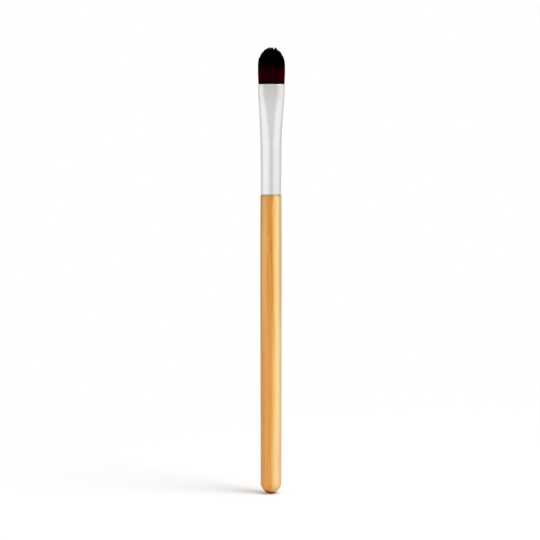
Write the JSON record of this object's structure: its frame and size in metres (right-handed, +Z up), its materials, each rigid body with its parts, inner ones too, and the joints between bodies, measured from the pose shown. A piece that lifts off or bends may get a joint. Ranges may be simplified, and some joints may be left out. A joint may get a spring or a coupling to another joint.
{
  "type": "concealer brush",
  "caption": "Flat filbert concealer brush with a slim round bamboo handle, a pressed aluminium ferrule and a dark synthetic tuft.",
  "frame": {"origin": "centre of the small flat foot at the handle's butt", "axes": "+Z up the handle to the bristle tips, X across the wide side of the tuft, Y through its thin side; the face seen in the picture looks along -Y"},
  "size_m": [0.0096, 0.0076, 0.1599],
  "materials": {
    "bamboo": "clear lacquer over straight fine grain",
    "aluminium": "satin, pressed, with faint drawing marks along its length",
    "filament": "fine synthetic filament, black at the tips and dark wine red towards the root",
    "filament_root": "gathered filament ends, hidden in the ferrule",
    "resin": "set amber resin, hidden in the ferrule",
    "adhesive": "set glue, hidden in the ferrule",
    "thread": "wound thread, hidden in the ferrule"
  },
  "bodies": {
    "root": {"handle": "bamboo", "tenon_adhesive": "adhesive", "ferrule": "aluminium", "root_resin": "resin", "root_bundle": "filament_root", "binding_thread": "thread", "bristle_tuft": "filament"}
  },
  "joints": []
}
